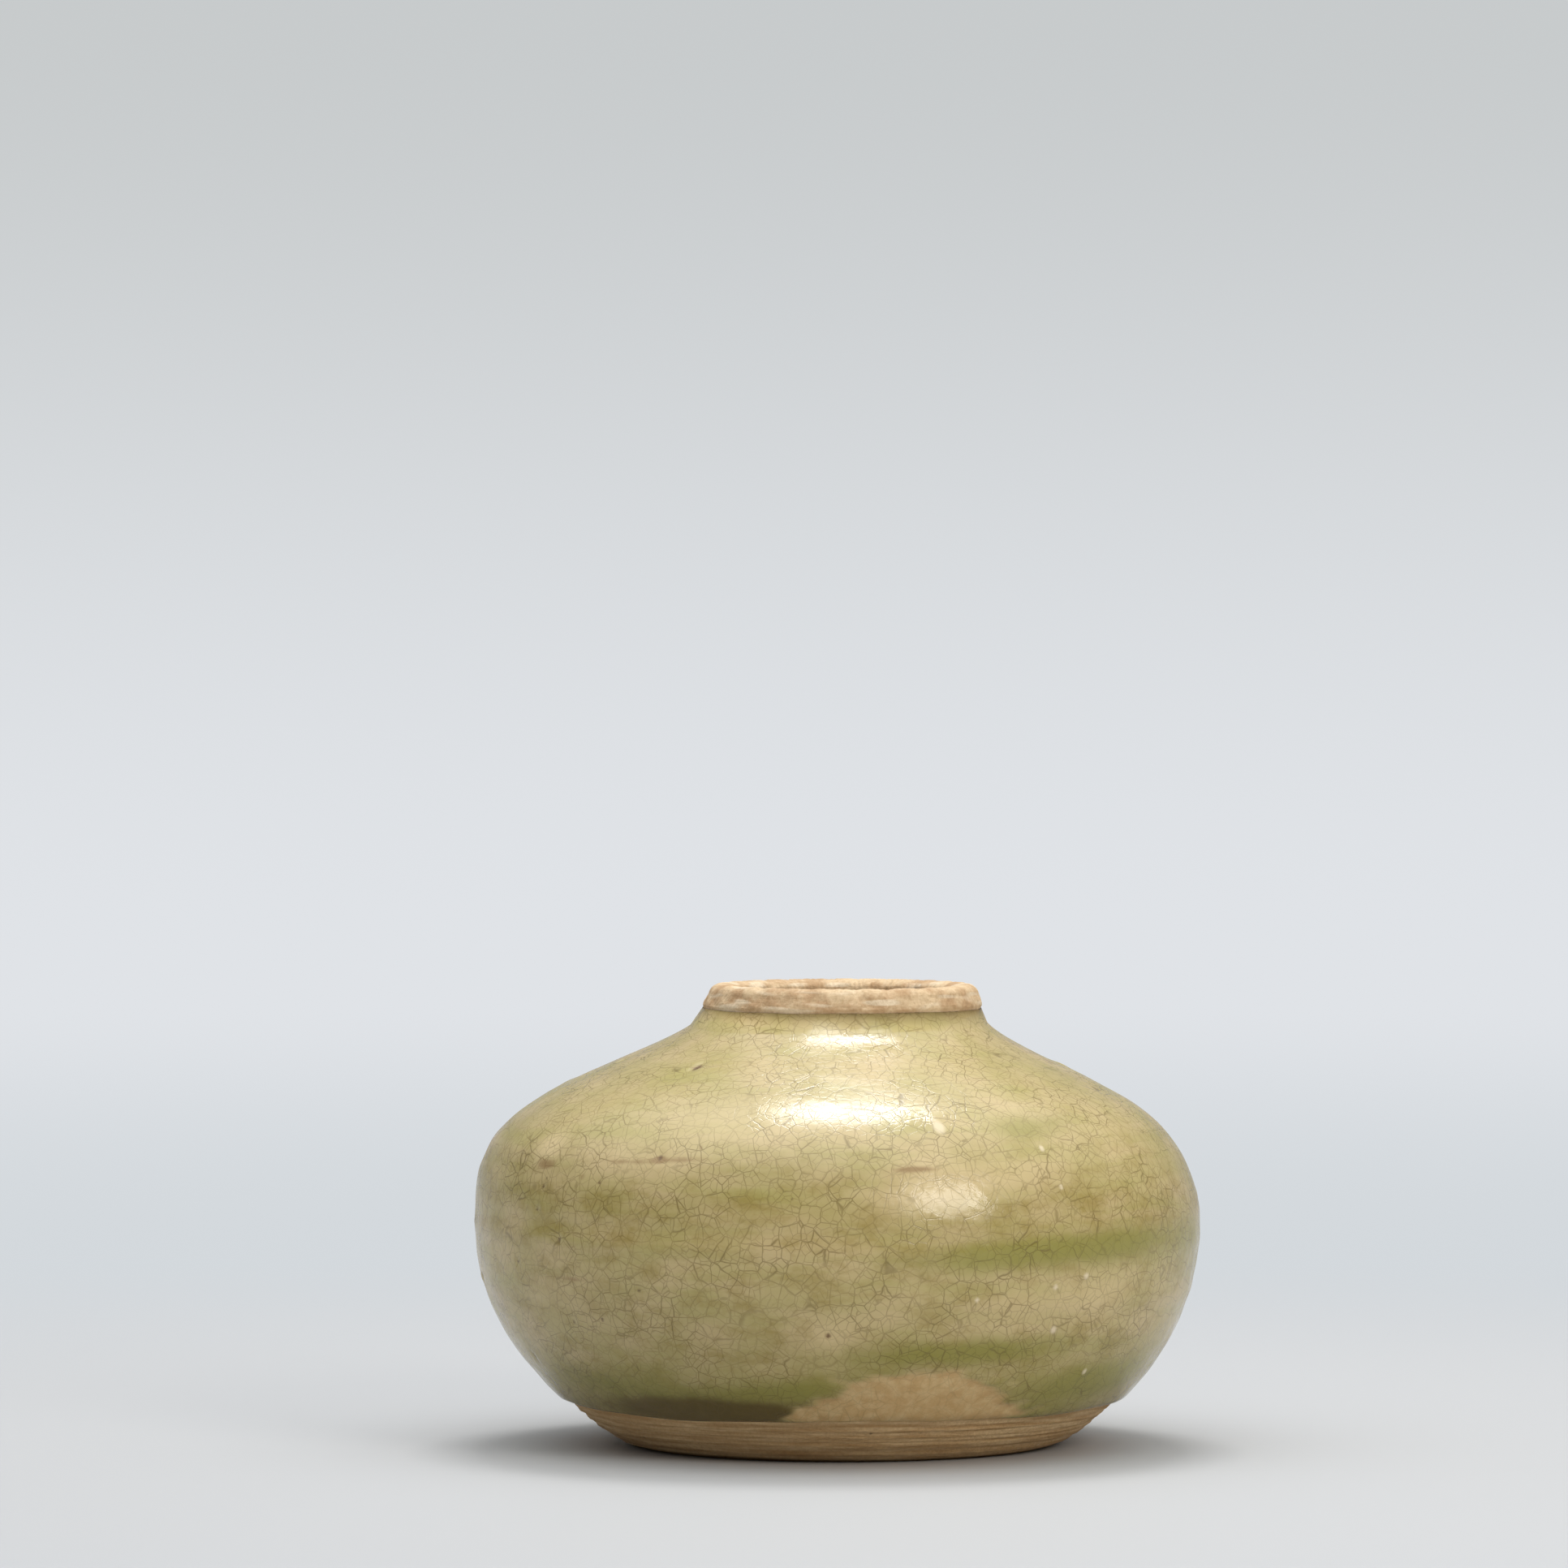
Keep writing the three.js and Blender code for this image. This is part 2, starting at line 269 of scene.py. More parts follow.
# The camera stands a metre off, above the jar and left of its middle, and looks slightly down past its top.
# Its place and the studio's are in metres.
CAMERA_PLACE = (-0.0058, -1.067, 0.097)
CAMERA_PITCH = math.radians(1.287)
CAMERA_LENS = 221.5
SENSOR_WIDTH = 36.0

# The studio's soft light: its brightness level with the jar, and what is added towards straight overhead
LEVEL_SKY = 0.12
OVERHEAD_SKY = 2.55
OVERHEAD_FOCUS = 3.0
SKY_COLOUR = (0.96, 0.98, 1.0, 1)
LAMP_DISTANCE = 0.6
LAMP_AIM_HEIGHT = 0.03
# name, direction from the jar, width and length, power, colour
LAMPS = [
    ("overhead_softbox", (0.03, 0.347, 0.937), (0.18, 0.17), 1.35, (1.0, 0.99, 0.97)),
    ("front_right_softbox", (0.541, -0.741, 0.396), (0.21, 0.21), 1.15, (1.0, 0.95, 0.88)),
]

# The paper sweep under and behind the jar
STAGE_HALF_WIDTH = 3.0
STAGE_FRONT = -2.0
STAGE_LEVEL_PART = 0.2
STAGE_BACK = 1.2
STAGE_BEND = 0.5
STAGE_BEND_STEPS = 16
STAGE_TOP = 1.6


def smooth(value, low, high):
    """0 below low and 1 above high, with an easy passage between them."""
    t = np.clip((np.asarray(value, float) - low) / (high - low), 0, 1)
    return t * t * (3 - 2 * t)


def stretch(start, end, bend, fineness=1):
    """A smooth stretch of outline between two points, without the first."""
    leave, arrive, steps = bend
    start, end = np.array(start, float), np.array(end, float)
    leaving = start + (end - start) * leave
    arriving = end - (end - start) * arrive
    t = (np.arange(steps * fineness) + 1)[:, None] / (steps * fineness)
    near_ends = start * (1 - t) ** 3 + end * t**3
    return near_ends + 3 * leaving * (1 - t) ** 2 * t + 3 * arriving * (1 - t) * t**2


def clay_outside():
    """The outside from the edge of the base to the lip's lower edge."""
    return np.vstack([
        [FOOT],
        stretch(FOOT, TRIM_TOP, TRIM_BEND),
        stretch(TRIM_TOP, BELLY, LOWER_WALL_BEND),
        stretch(BELLY, SHOULDER, UPPER_WALL_BEND),
        stretch(SHOULDER, NECK, SLOPE_BEND),
        stretch(NECK, LIP_EDGE, NECK_BEND),
    ])


def clay_lip():
    """The bare lip from its lower edge over the top to the mouth."""
    return np.vstack([
        stretch(LIP_EDGE, LIP_SIDE, LIP_SIDE_BEND),
        stretch(LIP_SIDE, LIP_CREST, LIP_CORNER_BEND),
        stretch(LIP_CREST, MOUTH, MOUTH_BEND),
    ])


def clay_inside(fineness):
    """The inside from the mouth to the edge of the floor. fineness is a factor on the steps."""
    return np.vstack([
        [MOUTH],
        stretch(MOUTH, THROAT, THROAT_BEND, fineness),
        stretch(THROAT, UNDER_SHOULDER, UNDER_SHOULDER_BEND, fineness),
        stretch(UNDER_SHOULDER, INSIDE_WALL, INSIDE_WALL_BEND, fineness),
        stretch(INSIDE_WALL, FLOOR_EDGE, BOWL_BEND, fineness),
    ])


def flat_rings(radii, height):
    """Outline points along a level surface."""
    return np.array([[radius, height] for radius in radii])


OUTSIDE = clay_outside()


def lengths(points):
    """How far along an outline each of its points lies."""
    steps = np.linalg.norm(np.diff(points, axis=0), axis=1)
    return np.concatenate([[0], np.cumsum(steps)])


def resample(points, count):
    """count evenly spaced points of an outline."""
    along = lengths(points)
    wanted = np.linspace(0, 1, count) * along[-1]
    return np.stack([np.interp(wanted, along, points[:, 0]), np.interp(wanted, along, points[:, 1])], 1)


def square(points):
    """The direction square to an outline at each point, to the right of its run."""
    run = np.gradient(points, axis=0)
    run /= np.linalg.norm(run, axis=1)[:, None]
    return np.stack([run[:, 1], -run[:, 0]], 1)


def off_surface(surface, station, depth):
    """Radius and height at lengths along an outline, moved square off it by depth."""
    along, direction = lengths(surface), square(surface)
    radius = np.interp(station, along, surface[:, 0]) + np.interp(station, along, direction[:, 0]) * depth
    height = np.interp(station, along, surface[:, 1]) + np.interp(station, along, direction[:, 1]) * depth
    return radius, height


def rolled(from_edge):
    """How full a coat is near its free edge, from 0 at the edge to 1 one roll away."""
    return np.sqrt(1 - (1 - from_edge) ** 2)


def round_angles(columns):
    return (np.arange(columns) * TAU / columns)[None, :]


ANGLES = round_angles(COLUMNS)


def angle_gap(angle, centre):
    """The signed turn from centre to angle, by the shorter way."""
    return (angle - centre + math.pi) % TAU - math.pi


def drift(height):
    """How far the body's sections stand off the axis at a height."""
    below = DRIFT_AT_FOOT * (1 - smooth(height, 0, BELLY[1]))
    to_shoulder = DRIFT_AT_SHOULDER * smooth(height, BELLY[1], SHOULDER[1])
    to_rim = (DRIFT_AT_RIM - DRIFT_AT_SHOULDER) * smooth(height, SHOULDER[1], LIP_CREST[1])
    return np.where(np.asarray(height) < BELLY[1], below, to_shoulder + to_rim)


def place(radius, height, angle):
    """Points in space, in metres, of radius and height turned by angle."""
    swell = np.cos(2 * (angle - math.pi / 2) + OUT_OF_ROUND_TURN) * smooth(height, 0, TRUE_FOOT_RISE)
    radius = radius * (1 + OUT_OF_ROUND * swell)
    x = drift(height) + radius * np.sin(angle)
    y = -radius * np.cos(angle)
    return np.stack([x, y, height], -1) * MM


def waves(name, angle, height):
    """Smooth seeded variation from about -1 to 1 that runs on round the jar."""
    seed, count, reach, drawn_out = WAVES[name]
    chance = np.random.default_rng(seed)
    most_turns = max(2, int(TAU * BELLY[0] / (reach * drawn_out)))
    total = np.zeros(np.broadcast(angle, height).shape)
    for _ in range(count):
        turns = int(chance.integers(1, most_turns))
        rise = TAU / (reach * chance.uniform(0.6, 2.0)) * chance.choice([-1, 1])
        total += np.sin(turns * angle + rise * height + chance.uniform(0, TAU))
    return total / math.sqrt(count)


def blob(angle, height, at_degrees, at_height, half_width, half_height, lean=0.0):
    """A soft oval mark, 1 at its middle. Its half sizes are in millimetres along the surface."""
    girth = np.interp(at_height, OUTSIDE[:, 1], OUTSIDE[:, 0])
    across = angle_gap(angle, math.radians(at_degrees)) * girth
    up = height - at_height - lean * across
    return np.exp(-0.5 * ((across / half_width) ** 2 + (up / half_height) ** 2))


def summed(marks, angle, height):
    total = np.zeros(np.broadcast(angle, height).shape)
    for degrees, at_height, half_width, half_height, lean, strength in marks:
        total += strength * blob(angle, height, degrees, at_height, half_width, half_height, lean)
    return total


def low_down(bands, height):
    """What bands of strength, full height and end height add at a height."""
    return sum(strength * (1 - smooth(height, full, end)) for strength, full, end in bands)


def edge_waver(edge_waves, angle):
    return sum(reach * np.sin(count * angle + turn) for reach, count, turn in edge_waves)


def ring_relief(rings, angle, height):
    """Ridges that wind round the jar and shift by one spacing in a turn."""
    return sum(depth * np.sin(height * TAU / spacing + angle + turn) for depth, spacing, turn in rings)


def grid_of(corners, shape):
    return np.stack([np.broadcast_to(corner, shape) for corner in corners], -1)


def grid_faces(rows, columns, row_pairs):
    """The vertex numbers of the four-sided faces between each row and the next."""
    row = np.arange(row_pairs)[:, None] * columns
    after_row = (row + columns) % (rows * columns)
    column = np.arange(columns)[None, :]
    after_column = (column + 1) % columns
    corners = (row + column, row + after_column, after_row + after_column, after_row + column)
    return grid_of(corners, (row_pairs, columns)).reshape(-1, 4)


def grid_map(layer, columns, row_pairs):
    """The map places of the same faces' corners. layer is each row's place up its half of the map."""
    half = columns // 2
    column = np.arange(columns)[None, :]
    left = (column % half) / half
    right = left + 1 / half
    base = (column // half) * 0.5
    low = base + MAP_HALF * layer[:row_pairs, None]
    high = base + MAP_HALF * np.append(layer[1:], layer[-1])[:row_pairs, None]
    u = grid_of((left, right, right, left), (row_pairs, columns))
    v = grid_of((low, low, high, high), (row_pairs, columns))
    return np.stack([u, v], -1).reshape(-1, 2)


def end_fan(row, columns, centre, first):
    """The triangles between an end row and the point that closes it."""
    ring = row * columns + np.arange(columns)
    after = np.roll(ring, -1)
    turn = (after, ring) if first else (ring, after)
    return np.stack([np.full(columns, centre), *turn], 1)


def write_mesh(name, vertices, faces, uvs, marks):
    """An object from its vertices, its groups of faces, their corners' map places and its vertices' marks.
    Vertices past the end of a mark's values have 0."""
    sizes = np.concatenate([np.full(len(group), group.shape[1]) for group in faces])
    corners = np.concatenate([group.ravel() for group in faces])
    mesh = bpy.data.meshes.new(name)
    mesh.vertices.add(len(vertices))
    mesh.vertices.foreach_set("co", vertices.astype(np.float32).ravel())
    mesh.loops.add(len(corners))
    mesh.loops.foreach_set("vertex_index", corners.astype(np.int32))
    mesh.polygons.add(len(sizes))
    mesh.polygons.foreach_set("loop_start", (np.cumsum(sizes) - sizes).astype(np.int32))
    mesh.polygons.foreach_set("use_smooth", np.ones(len(sizes), bool))
    mesh.uv_layers.new(name="OFBake").data.foreach_set("uv", np.vstack(uvs).astype(np.float32).ravel())
    for mark, values in marks.items():
        padded = np.zeros(len(vertices), np.float32)
        padded[: values.size] = values.ravel()
        mesh.attributes.new(mark, "FLOAT", "POINT").data.foreach_set("value", padded)
    mesh.update()
    mesh.validate()
    obj = bpy.data.objects.new(name, mesh)
    bpy.context.scene.collection.objects.link(obj)
    return obj


def make_sweep(name, radius, height, layer, marks, closed):
    """A surface of rings, one row of radius and height each. closed joins the last row to the first.
    Otherwise each end row is closed by a point on the body's centre line."""
    rows, columns = radius.shape
    row_pairs = rows if closed else rows - 1
    vertices = place(radius, height, round_angles(columns)).reshape(-1, 3)
    faces = [grid_faces(rows, columns, row_pairs)]
    uvs = [grid_map(layer, columns, row_pairs)]
    if not closed:
        for row in (0, rows - 1):
            z = height[row].mean()
            faces.append(end_fan(row, columns, len(vertices), row == 0))
            uvs.append(np.tile([[0.5, MAP_HALF * layer[row]]], (3 * columns, 1)))
            vertices = np.vstack([vertices, [[float(drift(z)) * MM, 0, z * MM]]])
    return write_mesh(name, vertices, faces, uvs, marks)


def all_bumps():
    """The bumps of the front, and seeded ones of the same kind round the rest."""
    chance = np.random.default_rng(SCATTER_SEED)
    scattered = []
    for _ in range(SCATTERED_BUMPS):
        scattered.append([chance.uniform(low, high) for low, high in SCATTER_RANGES])
    return BUMPS + scattered


def bump_relief(angle, height):
    """The relief of the bumps, and how much each point is a pit or a bump, for its colour. A bump's pale
    colour is partly a painted glint.
    """
    relief = np.zeros(np.broadcast(angle, height).shape)
    pit, rise = relief.copy(), relief.copy()
    for degrees, at_height, size, depth in all_bumps():
        relief += depth * blob(angle, height, degrees, at_height, size, size)
        coloured = size * BUMP_COLOUR_REACH
        target = pit if depth < 0 else rise
        np.maximum(target, blob(angle, height, degrees, at_height, coloured, coloured), out=target)
    return relief, pit, rise


def throwing_relief(angle, height):
    """The soft ridges that fingers leave, stronger in places, on a slow swell."""
    ridges = ring_relief(THROWING_RIDGES, angle, height)
    stronger = smooth(waves("ridge strength", angle, height), *RIDGES_GROW)
    strength = WEAKEST_RIDGES + (1 - WEAKEST_RIDGES) * stronger
    return ridges * strength + SWELL_RELIEF * waves("swell", angle, height)


def glaze_marks(height):
    """Where the outer glaze is thin, green, pooled, stained and so on, as a value for each point. The green,
    pool and dull values also hold painted shade low on the jar.
    """
    ragged = THIN_RAGGEDNESS * waves("thin patch edge", ANGLES, height)
    bare = smooth(np.clip(summed(THIN_MARKS, ANGLES, height) + ragged, 0, 1), *THIN_GROWS)
    green = summed(GREEN_MARKS, ANGLES, height) + low_down(LOW_GREEN_AND_SHADE, height)
    pool_and_shade = summed(POOL_AND_SHADE_MARKS, ANGLES, height) + low_down(LOW_POOL, height)
    return {
        "green": np.clip(green * (1 - GREEN_LOST_WHERE_THIN * bare), 0, MOST_TINT),
        "buff": np.clip(summed(BUFF_MARKS, ANGLES, height), 0, MOST_TINT),
        "bare": bare,
        "dull": LEAST_DULL + low_down(LOW_DULL_AND_SHADE, height),
        "pool_and_shade": np.clip(pool_and_shade * (1 - bare), 0, MOST_STAIN),
        "brown": np.clip(summed(BROWN_MARKS, ANGLES, height), 0, MOST_STAIN),
        "streaks": waves("glaze streaks", ANGLES, height),
        "clouds": waves("glaze clouds", ANGLES, height),
    }


def glaze_reach():
    """How far along the clay's outline the outer glaze's lower and upper edges lie, all round."""
    rise = LOW_EDGE_RISE * smooth(np.abs(angle_gap(ANGLES, LOWEST_ANGLE)), RISE_START, RISE_END)
    low_height = GLAZE_LOW_HEIGHT + edge_waver(LOW_EDGE_WAVES, ANGLES) + rise
    top_height = GLAZE_TOP_HEIGHT + edge_waver(TOP_EDGE_WAVES, ANGLES)
    along = lengths(OUTSIDE)
    return np.interp(low_height, OUTSIDE[:, 1], along), np.interp(top_height, OUTSIDE[:, 1], along)


def glaze_depth(height, from_edge, bumps, marks):
    """How far the outer glaze's shown surface stands off the clay."""
    thinned = 1 - THINNED_SHARE * marks["bare"]
    thickness = OUTER_GLAZE * thinned + STREAK_GAIN * np.clip(marks["green"], 0, 1)
    ridges = RIDGES_THROUGH_GLAZE * throwing_relief(ANGLES, height)
    pebbles = PEBBLE_RELIEF * waves("pebbles", ANGLES, height) * summed(PEBBLED_MARKS, ANGLES, height)
    off_edges = smooth(from_edge, *RELIEF_SETS_IN)
    relief = np.clip((ridges + bumps + pebbles) * off_edges, -DEEPEST_PIT, HIGHEST_BUMP)
    return SEAT + thickness * rolled(from_edge) + relief * off_edges


def make_outer_glaze():
    """The celadon coat: a closed shell with rolled free edges, its inner side a hairline off the clay."""
    low, top = glaze_reach()
    share = np.linspace(0, 1, GLAZE_ROWS)
    share = share - ROW_CROWDING * np.sin(share * TAU)
    station = low + (top - low) * share[:, None]
    height = np.interp(station, lengths(OUTSIDE), OUTSIDE[:, 1])
    from_edge = np.minimum(np.minimum(station - low, top - station), EDGE_ROLL) / EDGE_ROLL
    marks = glaze_marks(height)
    marks["edge"] = 1 - from_edge
    bumps, marks["pit"], marks["rise"] = bump_relief(ANGLES, height)
    shown_r, shown_z = off_surface(OUTSIDE, station, glaze_depth(height, from_edge, bumps, marks))
    hidden_share = np.linspace(1, 0, GLAZE_HIDDEN_ROWS + 2)[1:-1]
    hidden_r, hidden_z = off_surface(OUTSIDE, low + (top - low) * hidden_share[:, None], SEAT)
    shown_along = lengths(np.stack([shown_r[:, 0], shown_z[:, 0]], 1))
    shown_layer = shown_along / shown_along[-1] * GLAZE_SHOWN_END
    layer = np.concatenate([shown_layer, np.linspace(*GLAZE_HIDDEN_STRIP, GLAZE_HIDDEN_ROWS)])
    radius, height = np.vstack([shown_r, hidden_r]), np.vstack([shown_z, hidden_z])
    return make_sweep("celadon_coat", radius, height, layer, marks, True)


def turned_relief(angle, height):
    """The fine rings and deeper grooves left by the trimming tool round the foot, and its roughness."""
    wander = height + GROOVE_WANDER * np.sin(angle + 0.8)
    grooves = sum(np.exp(-0.5 * ((wander - at) / GROOVE_HALF_WIDTH) ** 2) for at in GROOVE_HEIGHTS)
    rough = FOOT_RELIEF * waves("foot roughness", angle, height * FOOT_RELIEF_SQUEEZE)
    return ring_relief(TURNED_RINGS, angle, height) - GROOVE_DEPTH * grooves + rough


def clay_sections():
    """The clay's outline in sections, from the middle of the base round to the middle of the floor, each
    with the band of the colour map that it fills. The foot and rim show, so they fill most of the map."""
    split = np.argmax(OUTSIDE[:, 1] > TRIM_TOP[1] + FOOT_ABOVE_TRIM)
    rim = np.vstack([OUTSIDE[-1:], clay_lip()])
    base_radii = (2.0, 8.0, 14.0, 18.0, 21.0, FOOT[0] - 2 * BASE_EDGE_ROUND)
    return {
        "base": (flat_rings(base_radii, 0.0), 0.0, 0.10),
        "foot": (resample(OUTSIDE[: split + 1], FOOT_ROWS), 0.12, 0.50),
        "wall": (resample(OUTSIDE[split:], WALL_ROWS)[1:], 0.51, 0.55),
        "rim": (resample(rim, RIM_ROWS)[1:], 0.56, 0.90),
        "hollow": (clay_inside(CLAY_INSIDE_FINENESS)[1:], 0.91, 0.97),
        "floor": (flat_rings((10.0, 5.0, 1.0), FLOOR_THICKNESS), 0.975, 0.99),
    }


def make_clay():
    """The fired body: turned foot, hidden wall under the glaze, sandy lip, hidden inside and flat base."""
    sections = clay_sections()
    outline = np.vstack([points for points, low, high in sections.values()])
    layer = np.concatenate([np.linspace(low, high, len(points)) for points, low, high in sections.values()])
    owner = np.concatenate([[name] * len(section[0]) for name, section in sections.items()])[:, None]
    on_foot, on_rim = owner == "foot", owner == "rim"
    radius = np.repeat(outline[:, :1], COLUMNS, 1)
    height = np.repeat(outline[:, 1:], COLUMNS, 1)
    on_rings = on_foot * smooth(height, *RINGS_FADE_IN) * (1 - smooth(height, *RINGS_FADE_OUT))
    turned = turned_relief(ANGLES, height) * on_rings
    worn = LIP_WEAR_RELIEF * waves("lip wear", ANGLES, height)
    worn = worn + LIP_GRAIN_RELIEF * waves("lip grain", ANGLES, height)
    above_lip_edge = on_rim * smooth(height, LIP_EDGE[1], LIP_EDGE[1] + LIP_WEAR_SETS_IN)
    relief = turned + np.minimum(worn, HIGHEST_LIP_WEAR) * above_lip_edge
    rounded = BASE_EDGE_ROUND * (1 - smooth(height, 0, BASE_EDGE_ROUND)) * on_foot
    direction = square(outline)
    radius = radius + direction[:, :1] * relief - rounded
    height = np.minimum(height + direction[:, 1:] * relief, LIP_CREST[1] + HIGHEST_ABOVE_CREST)
    marks = {
        "rim": smooth(height, *RIM_TONE),
        "streaks": waves("clay streaks", ANGLES, height),
    }
    return make_sweep("stoneware_body", radius, height, layer, marks, False)


def make_lining():
    """The glaze inside: thin at the mouth, over the wall and floor."""
    surface = np.vstack([clay_inside(LINING_FINENESS), flat_rings((12.0, 8.0, 4.0, 1.0), FLOOR_THICKNESS)])
    surface = surface[np.argmax(surface[:, 1] < LINING_TOP_HEIGHT):]
    along = lengths(surface)
    angle = round_angles(LINING_COLUMNS)
    wet = LINING + LINING_RELIEF * waves("lining thickness", angle, surface[:, 1:])
    depth = SEAT + wet * rolled(np.minimum(along, EDGE_ROLL)[:, None] / EDGE_ROLL)
    shown_r, shown_z = off_surface(surface, along[:, None], depth)
    hidden_along = along[:0:-LINING_HIDDEN_STEP, None]
    hidden_r, hidden_z = off_surface(surface, hidden_along, np.full((1, LINING_COLUMNS), SEAT))
    radius, height = np.vstack([hidden_r, shown_r]), np.vstack([hidden_z, shown_z])
    shown_layer = np.interp(along, (0, along[-1]), LINING_SHOWN_STRIP)
    layer = np.concatenate([np.linspace(*LINING_HIDDEN_STRIP, len(hidden_along)), shown_layer])
    marks = {
        "streaks": waves("lining streaks", angle, height),
        "clouds": waves("lining clouds", angle, height),
        "dull": np.full(height.shape, LINING_DULL),
    }
    return make_sweep("celadon_lining", radius, height, layer, marks, False)


class Nodes:
    """Short calls for a node tree. A place is a texture coordinate in metres."""

    def __init__(self, tree):
        self.tree = tree

    def node(self, kind, **settings):
        made = self.tree.nodes.new(kind)
        for key, value in settings.items():
            setattr(made, key, value)
        return made

    def link(self, source, target):
        self.tree.links.new(source, target)

    def feed(self, source, target):
        """Sets an input to a number, or links it to an output."""
        if isinstance(source, (int, float)):
            target.default_value = source
        else:
            self.link(source, target)

    def math(self, operation, a, b, clamp=False):
        made = self.node("ShaderNodeMath", operation=operation, use_clamp=clamp)
        self.feed(a, made.inputs[0])
        self.feed(b, made.inputs[1])
        return made.outputs[0]

    def times(self, a, b):
        return self.math("MULTIPLY", a, b)

    def plus(self, a, b):
        return self.math("ADD", a, b)

    def mark(self, name):
        return self.node("ShaderNodeAttribute", attribute_name=name).outputs["Fac"]

    def remap(self, source, low, high, to_low=0.0, to_high=1.0):
        """An easy passage between two results as the source goes from low to high."""
        made = self.node("ShaderNodeMapRange", interpolation_type="SMOOTHSTEP")
        self.link(source, made.inputs["Value"])
        for key, number in (("From Min", low), ("From Max", high), ("To Min", to_low), ("To Max", to_high)):
            made.inputs[key].default_value = number
        return made.outputs["Result"]

    def mix(self, share, a, b):
        made = self.node("ShaderNodeMix", data_type="RGBA")
        self.link(share, made.inputs[0])
        for colour, socket in ((a, made.inputs[6]), (b, made.inputs[7])):
            if isinstance(colour, tuple):
                socket.default_value = (*colour, 1)
            else:
                self.link(colour, socket)
        return made.outputs[2]

    def tint(self, colour, towards, source, low, high, most=1.0):
        """A colour moved towards another, at most by a share, as the source goes from low to high."""
        return self.mix(self.remap(source, low, high, 0.0, most), colour, towards)

    def place(self):
        return self.node("ShaderNodeTexCoord").outputs["Object"]

    def noise_node(self, where, scale, detail, roughness):
        made = self.node("ShaderNodeTexNoise")
        self.link(where, made.inputs["Vector"])
        made.inputs["Scale"].default_value = scale
        made.inputs["Detail"].default_value = detail
        made.inputs["Roughness"].default_value = roughness
        return made

    def noise(self, where, scale, detail, roughness):
        return self.noise_node(where, scale, detail, roughness).outputs["Fac"]

    def squeezed(self, where, factors):
        made = self.node("ShaderNodeMapping")
        self.link(where, made.inputs["Vector"])
        made.inputs["Scale"].default_value = factors
        return made.outputs["Vector"]

    def warped(self, where, scale, amount):
        """The place moved about a little, so that straight lines wander."""
        shift = self.node("ShaderNodeVectorMath", operation="MULTIPLY_ADD")
        self.link(self.noise_node(where, scale, 2.0, 0.5).outputs["Color"], shift.inputs[0])
        shift.inputs[1].default_value = (amount, amount, amount)
        self.link(where, shift.inputs[2])
        return shift.outputs[0]

    def cells(self, where, size, feature):
        made = self.node("ShaderNodeTexVoronoi", feature=feature)
        self.link(where, made.inputs["Vector"])
        made.inputs["Scale"].default_value = 1 / size
        return made

    def cracks(self, where, size, width):
        """1 on the lines between cells of about that size, and 0 a width away from them."""
        cells = self.cells(where, size, "DISTANCE_TO_EDGE")
        return self.remap(cells.outputs["Distance"], 0.0, width / size, 1.0, 0.0)

    def specks(self, where, spacing, size, share):
        """Dots of a size in the middle of a share of the cells of a spacing."""
        cells = self.cells(where, spacing, "F1")
        dot = self.remap(cells.outputs["Distance"], 0.0, size / spacing, 1.0, 0.0)
        split = self.node("ShaderNodeSeparateColor")
        self.link(cells.outputs["Color"], split.inputs[0])
        return self.times(dot, self.math("LESS_THAN", split.outputs[0], share))

    def bump(self, height, strength, distance, normal=None):
        made = self.node("ShaderNodeBump")
        made.inputs["Strength"].default_value = strength
        made.inputs["Distance"].default_value = distance
        self.link(height, made.inputs["Height"])
        if normal is not None:
            self.link(normal, made.inputs["Normal"])
        return made.outputs["Normal"]


def new_material(name):
    """A material, its node calls and the inputs of its surface shader."""
    material = bpy.data.materials.new(name)
    material.use_nodes = True
    tree = material.node_tree
    return material, Nodes(tree), tree.nodes["Principled BSDF"].inputs


def glaze_colour(make, where, base, warm, green, dull):
    """Glass over clay: clouds of base and warm, greener streaks along the turn, fine mottling and dull
    patches."""
    broad = make.math("SUBTRACT", make.noise(where, 160, 3, 0.55), 0.5)
    clouds = make.plus(make.mark("clouds"), make.times(broad, 3.0))
    colour = make.tint(base, warm, clouds, -1.6, 1.8)
    streaks = make.times(make.remap(make.mark("streaks"), 0.2, 2.2), 0.45)
    colour = make.mix(streaks, colour, green)
    colour = make.tint(colour, warm, make.noise(where, 900, 4, 0.6), 0.3, 0.75, most=0.22)
    turned = make.noise(make.squeezed(where, (1.0, 1.0, 9.0)), 75, 4, 0.6)
    colour = make.tint(colour, green, turned, 0.42, 0.72, most=0.34)
    cloudy = make.noise(make.squeezed(where, (1.0, 1.0, 1.8)), 240, 4, 0.65)
    # The outer glaze's dull mark rises low on the jar, partly as painted shade.
    dullness = make.times(make.remap(cloudy, 0.40, 0.74, 0.12, 0.75), make.mark("dull"))
    return make.mix(dullness, colour, dull)


def crackle(make, where):
    """Two nets of fine cracks, stained more in some places, and fainter where the glaze is thin."""
    large = make.cracks(make.warped(where, 420, 0.0007), 0.0021, 0.000085)
    small = make.cracks(make.warped(where, 700, 0.0004), 0.00115, 0.000065)
    lines = make.math("MAXIMUM", make.times(large, 0.70), make.times(small, 0.48))
    stained = make.remap(make.noise(where, 150, 4, 0.65), 0.36, 0.64, 0.42, 1.0)
    over_glass = make.remap(make.mark("bare"), 0.0, 1.0, 1.0, 0.4)
    return make.times(make.times(lines, stained), over_glass)


